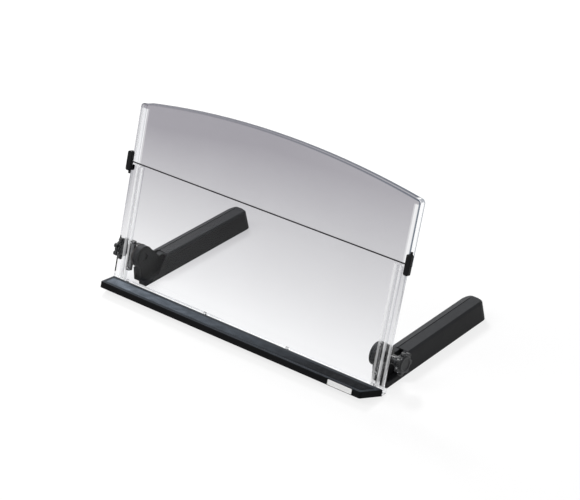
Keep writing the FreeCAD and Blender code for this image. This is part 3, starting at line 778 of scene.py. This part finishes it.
        # painted dark reflection towards the top, with the painted dark lines mixed over it
        reflection_tint = s.blend(self.painted_reflection(s, height, along, kept), self.low, self.high)
        tint = s.blend(s.math("MULTIPLY", lines, flat), reflection_tint, self.line_dark)
        s.give(Base_Color=tint, Roughness=s.scale(s.noise(0.05, 5.0), *self.haze),
               Normal=s.bump(s.noise(0.02, 1.0), self.ripple, s.rounded(self.edge)))
        s.give(IOR=self.index, Specular_IOR_Level=self.level, Transmission_Weight=1.0)
        shadow = s.node("LightPath").outputs["Is Shadow Ray"]
        s.show(s.mix(s.math("MAXIMUM", shadow, sheet), s.shader.outputs["BSDF"],
                     self.film(s, tint, bright)))


@dataclass(frozen=True)
class GripMat(Finish):
    """Pimpled rubber that keeps pages from sliding.

    Its paler left end and darker right end are painted light and shade, and aren't wear.

    Attributes:
        colour: its darker colour, full at the right end, where shade is painted.
        pale: its paler colour, strongest at the left end, where light is painted.
        pale_end: where along X it is palest.
        dark_end: where along X the paler colour ends.
        pimple: distance between the pimples.
        scatter: how unevenly they stand, from 0 to 1.
        relief: their height.
    """

    colour: Colour = (0.009, 0.01, 0.012)
    pale: Colour = (0.235, 0.275, 0.325)
    pale_end: float = -0.2
    dark_end: float = 0.14
    pimple: float = 0.0011
    scatter: float = 0.35
    relief: float = 0.00018

    def build(self, s: Shading) -> None:
        """Wires the pimples and the paler colour on their tops, painted light that falls off to the
        right.

        Args:
            s: the empty material to fill.
        """
        cells = s.node("TexVoronoi", {"Vector": s.place, "Scale": 1.0 / self.pimple,
                                      "Randomness": self.scatter})
        tops = s.scale(cells.outputs["Distance"], 1.0, 0.0, 0.05, 0.6)
        leftward = s.math("MULTIPLY", s.scale(s.across(), 1.0, 0.0, self.pale_end, self.dark_end),
                          s.scale(s.noise(0.012, 4.0), 0.55, 1.0))
        share = s.math("MULTIPLY", s.scale(tops, 0.5, 1.0, 0.0, 1.0), leftward)
        s.give(Base_Color=s.blend(share, self.colour, self.pale),
               Roughness=s.scale(s.noise(0.006, 3.0), 0.62, 0.8),
               Normal=s.bump(tops, self.relief))
        s.give(IOR=1.5, Specular_IOR_Level=0.04, Sheen_Weight=0.01, Sheen_Roughness=0.4)


@dataclass(frozen=True)
class PlatedSteel(Finish):
    """Plated steel with fine turning marks.

    Attributes:
        colour: the plating's colour.
        dull: its colour where it has dulled.
        rough: its roughness.
        spread: how far its roughness goes below and above the middle.
        edge: the rounding that its edges show.
    """

    colour: Colour = (0.62, 0.62, 0.63)
    dull: Colour = (0.42, 0.42, 0.43)
    rough: float = 0.28
    spread: tuple[float, float] = (-0.06, 0.12)
    edge: float = 0.00025

    def build(self, s: Shading) -> None:
        """Wires dull patches and fine marks.

        Args:
            s: the empty material to fill.
        """
        marks = s.noise(0.0002, 2.0)
        s.give(Base_Color=s.blend(s.scale(s.noise(0.002, 3.0), 0.0, 1.0), self.colour, self.dull),
               Roughness=s.scale(marks, *(self.rough + away for away in self.spread)),
               Normal=s.bump(marks, 0.00001, s.rounded(self.edge)))
        s.give(Metallic=1.0)


@dataclass(frozen=True)
class Fibre(Finish):
    """Pressed fibre of a friction disc.

    Attributes:
        colour: the fibre's colour.
        fleck: the colour of its flecks.
    """

    colour: Colour = (0.035, 0.028, 0.024)
    fleck: Colour = (0.13, 0.10, 0.08)

    def build(self, s: Shading) -> None:
        """Wires flecks and a felted relief.

        Args:
            s: the empty material to fill.
        """
        flecks = s.noise(0.0005, 4.0)
        s.give(Base_Color=s.blend(s.scale(flecks, 0.0, 1.0, 0.5, 0.7), self.colour, self.fleck),
               Roughness=s.scale(flecks, 0.7, 0.9), Normal=s.bump(flecks, 0.00004))


@dataclass(frozen=True)
class SoftRubber(Finish):
    """Plain black rubber, a little dusty.

    Attributes:
        colour: the rubber's colour.
        dusty: its colour under dust.
    """

    colour: Colour = (0.03, 0.03, 0.03)
    dusty: Colour = (0.09, 0.088, 0.085)

    def build(self, s: Shading) -> None:
        """Wires dust and a faint pitted relief.

        Args:
            s: the empty material to fill.
        """
        pits = s.noise(0.0004, 2.0)
        s.give(Base_Color=s.blend(s.scale(s.noise(0.002, 4.0), 0.0, 0.5), self.colour, self.dusty),
               Roughness=s.scale(pits, 0.7, 0.85), Normal=s.bump(pits, 0.00002))


@dataclass(frozen=True)
class Braid(Finish):
    """Braided cover of the elastic line, which runs along X.

    Attributes:
        centre: a point on the line's axis.
        pitch: length of one turn of a strand.
        strands: strands that wind each way.
        colour: the yarn's colour.
        gap: the colour between yarns.
        relief: the yarn's height.
    """

    centre: Point = (0.0, 0.0, 0.0)
    pitch: float = 0.006
    strands: int = 4
    colour: Colour = (0.014, 0.014, 0.015)
    gap: Colour = (0.003, 0.003, 0.003)
    relief: float = 0.00012

    def build(self, s: Shading) -> None:
        """Wires two sets of strands that wind opposite ways.

        Args:
            s: the empty material to fill.
        """
        moved = s.node("VectorMath", {0: s.place, 1: self.centre}, operation="SUBTRACT")
        parts = s.node("SeparateXYZ", {"Vector": moved.outputs["Vector"]})
        around = s.math("MULTIPLY", s.math("ARCTAN2", parts.outputs["Z"], parts.outputs["Y"]),
                        float(self.strands))
        along = s.math("MULTIPLY", parts.outputs["X"], 2 * math.pi * self.strands / self.pitch)
        one = s.math("ABSOLUTE", s.math("SINE", s.math("ADD", around, along)))
        two = s.math("ABSOLUTE", s.math("SINE", s.math("SUBTRACT", around, along)))
        yarn = s.math("MAXIMUM", one, two)
        s.give(Base_Color=s.blend(yarn, self.gap, self.colour), Normal=s.bump(yarn, self.relief))
        s.give(Roughness=0.75, Specular_IOR_Level=0.2, Sheen_Weight=0.06, Sheen_Roughness=0.4)


@dataclass(frozen=True)
class Enamel(Finish):
    """White enamel of the bare plate.

    Attributes:
        colour: the enamel's colour.
        aged: its colour where it has yellowed a little.
    """

    colour: Colour = (0.9, 0.9, 0.895)
    aged: Colour = (0.85, 0.845, 0.83)

    def build(self, s: Shading) -> None:
        """Wires a faint mottling and orange peel.

        Args:
            s: the empty material to fill.
        """
        peel = s.noise(0.0012, 2.0)
        s.give(Base_Color=s.blend(s.scale(s.noise(0.006, 3.0), 0.0, 0.6), self.colour, self.aged),
               Roughness=s.scale(peel, 0.25, 0.36), Normal=s.bump(peel, 0.00002))
        s.give(IOR=1.5)


BLACK = Moulded("black_moulding", "black", colour=(0.018, 0.0185, 0.0198),
                pale_edge=(0.04, 0.041, 0.044), rough=0.5, gloss=0.1,
                pale_top=(0.026, 0.0275, 0.0305))
HUB = Moulded("hub_moulding", "black", colour=(0.01, 0.0105, 0.0115),
              pale_edge=(0.05, 0.052, 0.056), rough=0.24, grain=0.0009, relief=0.00001, gloss=0.3)
LIP = Moulded("shelf_moulding", "grey_shelf", colour=(0.006, 0.0062, 0.0068),
              pale_edge=(0.045, 0.047, 0.052), rough=0.5, grain=0.0008, gloss=0.04,
              pale_top=(0.032, 0.037, 0.044))
KNOB = Moulded("knob_moulding", "knob_black", colour=(0.016, 0.017, 0.0185),
               pale_edge=(0.17, 0.18, 0.2), rough=0.36, grain=0.0005, edge=0.001, gloss=0.2)
CLIP = Moulded("clip_moulding", "clip_black", colour=(0.008, 0.008, 0.009),
               pale_edge=(0.04, 0.04, 0.042), rough=0.35, grain=0.0005, relief=0.00001,
               edge=0.0007, gloss=0.08)
CLEAR = ClearSheet("clear_moulding", "clear_panel")
MAT = GripMat("grip_rubber", "mat")
STEEL = PlatedSteel("plated_steel", "steel")
OXIDE = PlatedSteel("black_oxide", "black_steel", colour=(0.05, 0.05, 0.053),
                    dull=(0.02, 0.02, 0.022), rough=0.4)
FIBRE = Fibre("fibre_disc", "fibre")
RUBBER = SoftRubber("foot_rubber", "rubber")


# ------------------------------------------------------------------ sub-assemblies
@dataclass
class SubAssembly:
    """Some pieces of the holder that belong together.

    Attributes:
        body: the body that its new pieces ride on.
    """

    body: str = "panel"

    def dress(self) -> None:
        """Puts each carried-over node in its finish."""
        for node, finish in self.finishes().items():
            finish.dress(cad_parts[node])
            LOG.info("%s: %s", node, finish.name)

    def finishes(self) -> dict[str, Finish]:
        """The finish of each carried-over node.

        Returns:
            The finishes, by the node's name.
        """
        return {}

    def hand_over(self, piece: bpy.types.Object, finish: Finish) -> bpy.types.Object:
        """Dresses a new piece and lets it ride on the body.

        Args:
            piece: the finished piece, settled at the origin.
            finish: its finish.

        Returns:
            The same piece.
        """
        finish.dress(piece)
        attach(piece, self.body)
        LOG.info("%s: new, %s", piece.name, finish.name)
        return piece


@dataclass
class ClearPanel(SubAssembly):
    """The clear panel and the brackets' screws on its back."""

    def finishes(self) -> dict[str, Finish]:
        """The panel's and the screws' finishes.

        Returns:
            The finishes, by the node's name.
        """
        found: dict[str, Finish] = {"panel": CLEAR}
        for side in Side:
            found[f"{side.word}_bracket_screws"] = OXIDE
        return found


@dataclass
class PageShelf(SubAssembly):
    """The shelf with its grip mat and the bare plate on its front.

    Attributes:
        depth: depth of the shelf in front of the panel.
        plate_width: the plate's width.
        plate_height: the plate's height.
        plate_thick: the plate's thickness.
        plate_corner: the radius of its corners.
        plate_rim: width of the raised rim around its face.
        plate_sink: share of the thickness by which its face is sunk.
        plate_edge: the bevel of its edges.
        plate_across: its middle, to the right of the shelf's middle.
        plate_up: its middle, above the shelf's lower edge.
    """

    depth: float = 0.035
    plate_width: float = 0.0375
    plate_height: float = 0.0068
    plate_thick: float = 0.0004
    plate_corner: float = 0.0007
    plate_rim: float = 0.0005
    plate_sink: float = 0.3
    plate_edge: float = 0.00008
    plate_across: float = 0.188
    plate_up: float = 0.0046

    def finishes(self) -> dict[str, Finish]:
        """The shelf's, mat's and screws' finishes.

        Returns:
            The finishes, by the node's name.
        """
        return {"shelf": LIP, "shelf_mat": MAT, "shelf_screws": STEEL}

    def build(self) -> None:
        """Models the bare plate on the shelf's front."""
        centre = LEAN.point(self.plate_across, -self.depth - self.plate_thick / 2, self.plate_up)
        drop_selection()
        bpy.ops.mesh.primitive_cube_add(size=1.0, location=centre)
        plate = bpy.context.active_object
        plate.name = "bare_plate"
        plate.scale = (self.plate_width, self.plate_thick, self.plate_height)
        bpy.ops.object.transform_apply(location=False, rotation=False, scale=True)
        select_edges(plate, lambda a, b: abs(a.y - b.y) > self.plate_thick / 2)
        bpy.ops.mesh.bevel(offset=self.plate_corner, segments=6, affect="EDGES")
        bpy.ops.object.mode_set(mode="OBJECT")
        select_faces(plate, lambda f: f.normal.y < -0.9)
        bpy.ops.mesh.inset(thickness=self.plate_rim)
        bpy.ops.transform.translate(value=(0.0, self.plate_thick * self.plate_sink, 0.0))
        bpy.ops.object.mode_set(mode="OBJECT")
        apply_modifier(plate, "BEVEL", width=self.plate_edge, segments=2, limit_method="ANGLE")
        take(plate)
        plate.rotation_euler = (-LEAN.angle, 0.0, 0.0)
        settle(plate)
        smooth(plate)
        self.hand_over(plate, Enamel("plate_enamel", "grey_shelf"))


@dataclass
class TiltClamp(SubAssembly):
    """The bolt, bracket, washers and knob that clamp one leg to the panel.

    Attributes:
        side: the side it is on.
    """

    side: Side = Side.RIGHT

    def finishes(self) -> dict[str, Finish]:
        """The clamp's finishes.

        Returns:
            The finishes, by the node's name.
        """
        word = self.side.word
        return {f"{word}_bracket": HUB, f"{word}_tilt_bolt": OXIDE, f"{word}_knob": KNOB,
                f"{word}_clutch_washer": FIBRE, f"{word}_sleeve": HUB, f"{word}_washer": OXIDE}


@dataclass
class HollowLeg(SubAssembly):
    """One leg with its cover and feet.

    Attributes:
        side: the side it is on.
    """

    side: Side = Side.RIGHT

    def finishes(self) -> dict[str, Finish]:
        """The leg's finishes.

        Returns:
            The finishes, by the node's name.
        """
        word = self.side.word
        return {f"{word}_leg": BLACK, f"{word}_leg_cover": BLACK, f"{word}_front_foot": RUBBER,
                f"{word}_rear_foot": RUBBER}


@dataclass
class LineGuide(SubAssembly):
    """The elastic line between the two sliding clips.

    Attributes:
        half_span: half the line's length.
        before: the line's distance in front of the panel.
        up: its height along the panel.
        diameter: its diameter.
        inner: distance of a clip's inner end from the middle.
        roundness: segments of a quarter of its section.
        steps: segments between two stations.
    """

    body: str = "left_slider"
    half_span: float = 0.2335
    before: float = 0.0026
    up: float = 0.1726
    diameter: float = 0.0018
    inner: float = 0.2263
    roundness: int = 5
    steps: int = 24

    def finishes(self) -> dict[str, Finish]:
        """The clips' and ferrules' finishes.

        Returns:
            The finishes, by the node's name.
        """
        return {"left_clip": CLIP, "right_clip": CLIP, "left_ferrule": STEEL,
                "right_ferrule": STEEL}

    def build(self) -> None:
        """Lays the elastic line from ferrule to ferrule, with stations at the clips' inner ends."""
        line = bpy.data.curves.new("elastic_line", "CURVE")
        line.dimensions = "3D"
        line.bevel_depth = self.diameter / 2
        line.bevel_resolution = self.roundness
        line.resolution_u = self.steps
        stations = (-self.half_span, -self.inner, 0.0, self.inner, self.half_span)
        spline = line.splines.new("NURBS")
        spline.points.add(len(stations) - 1)
        for point, across in zip(spline.points, stations):
            point.co = (*self.station(across), 1.0)
        spline.order_u = 3
        spline.use_endpoint_u = True
        piece = bpy.data.objects.new("elastic_line", line)
        bpy.context.scene.collection.objects.link(piece)
        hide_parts("line_guide_cord")
        self.hand_over(piece, Braid("elastic_braid", "elastic", centre=self.station(0.0)))

    def station(self, across: float) -> Point:
        """A point on the line's axis.

        Args:
            across: its distance to the right of the middle.

        Returns:
            The point in the holder's frame.
        """
        return tuple(LEAN.point(across, -self.before, self.up))


# ------------------------------------------------------------------ studio
@dataclass(frozen=True)
class Lamp:
    """A soft square lamp.

    Attributes:
        name: the lamp's name.
        place: where it hangs.
        towards: the point it faces.
        size: its side.
        power: its power in watts.
    """

    name: str
    place: Point
    towards: Point
    size: float
    power: float

    def hang(self) -> None:
        """Adds the lamp to the scene."""
        data = bpy.data.lights.new(self.name, "AREA")
        data.size = self.size
        data.energy = self.power
        lamp = bpy.data.objects.new(self.name, data)
        lamp.location = self.place
        way = Vector(self.towards) - Vector(self.place)
        lamp.rotation_euler = way.to_track_quat("-Z", "Y").to_euler()
        bpy.context.scene.collection.objects.link(lamp)


LAMPS = (
    Lamp("key", (-1.1, -1.5, 2.1), (0.0, 0.0, 0.08), 1.6, 44.0),
    Lamp("overhead", (-1.4, 0.9, 2.0), (0.0, 0.0, 0.0), 0.6, 56.0),
    Lamp("fill", (2.2, -0.6, 1.3), (0.0, 0.0, 0.05), 1.2, 4.0),
)


@dataclass
class Studio:
    """A plain pale floor, soft lamps and the camera.

    Attributes:
        stand: where the camera stands.
        across: the camera's right-hand direction.
        upward: the camera's upward direction.
        lens: its focal length in millimetres.
        sensor: its sensor's width in millimetres.
        floor_size: the floor's side.
        floor_drop: how far the floor lies below the feet.
        floor_colour: the floor's colour where it is seen.
        floor_glow: share of the seen floor that glows, so that shadows stay soft.
        floor_dim: the floor's colour where it only throws light back.
        day: the world's strength on the object.
    """

    stand: Point = (1.4046, -1.7326, 1.2945)
    across: Point = (0.7764, 0.6302, 0.0)
    upward: Point = (-0.3007, 0.3704, 0.8788)
    lens: float = 119.69
    sensor: float = 36.0
    floor_size: float = 12.0
    floor_drop: float = 0.0002
    floor_colour: Colour = (0.9, 0.9, 0.9)
    floor_glow: float = 0.8
    floor_dim: Colour = (0.6, 0.6, 0.6)
    day: float = 0.3

    def build(self) -> None:
        """Sets up the floor, the world, the lamps and the camera."""
        self.lay_floor()
        self.light_world()
        for lamp in LAMPS:
            lamp.hang()
        self.set_camera()

    def lay_floor(self) -> None:
        """Lays a pale floor that keeps a soft shadow."""
        drop_selection()
        bpy.ops.mesh.primitive_plane_add(size=self.floor_size,
                                         location=(0.0, 0.0, -self.floor_drop))
        floor = bpy.context.active_object
        floor.name = "studio_floor"
        settle(floor)
        s = Shading("pale_floor")
        s.give(Base_Color=self.floor_colour, Roughness=0.9)
        glow = s.node("Emission", {"Color": WHITE, "Strength": 1.0}).outputs["Emission"]
        dim = s.node("BsdfDiffuse", {"Color": self.floor_dim}).outputs["BSDF"]
        shown = s.mix(self.floor_glow, s.shader.outputs["BSDF"], glow)
        s.show(s.mix(s.seen(), dim, shown))
        floor.data.materials.append(s.material)

    def light_world(self) -> None:
        """Lights the world: white where it is seen, softer on the object."""
        world = bpy.data.worlds.new("studio_world")
        bpy.context.scene.world = world
        world.use_nodes = True
        n = Nodes(world.node_tree)
        soft, shown = (n.node("Background", {"Color": WHITE, "Strength": strength})
                       .outputs["Background"] for strength in (self.day, 1.0))
        n.node("OutputWorld", {"Surface": n.mix(n.seen(), soft, shown)})

    def set_camera(self) -> None:
        """Stands the camera at the viewing angle."""
        data = bpy.data.cameras.new("camera")
        data.lens = self.lens
        data.sensor_width = self.sensor
        data.clip_end = 50.0
        camera = bpy.data.objects.new("camera", data)
        right, upward = Vector(self.across), Vector(self.upward)
        towards = upward.cross(right)
        camera.location = self.stand
        camera.rotation_euler = towards.to_track_quat("-Z", "Y").to_euler()
        bpy.context.scene.collection.objects.link(camera)
        bpy.context.scene.camera = camera


def main() -> None:
    """Builds and dresses the holder piece by piece, then the studio."""
    logging.basicConfig(level=logging.INFO, format="%(message)s")
    bpy.context.scene.view_settings.view_transform = "Standard"
    panel, shelf, guide = ClearPanel(), PageShelf(), LineGuide()
    clamps = [TiltClamp(side=side) for side in Side]
    legs = [HollowLeg(side=side) for side in Side]
    for group in (panel, shelf, guide, *clamps, *legs):
        group.dress()
    shelf.build()
    guide.build()
    Studio().build()


if __name__ == "__main__":
    main()
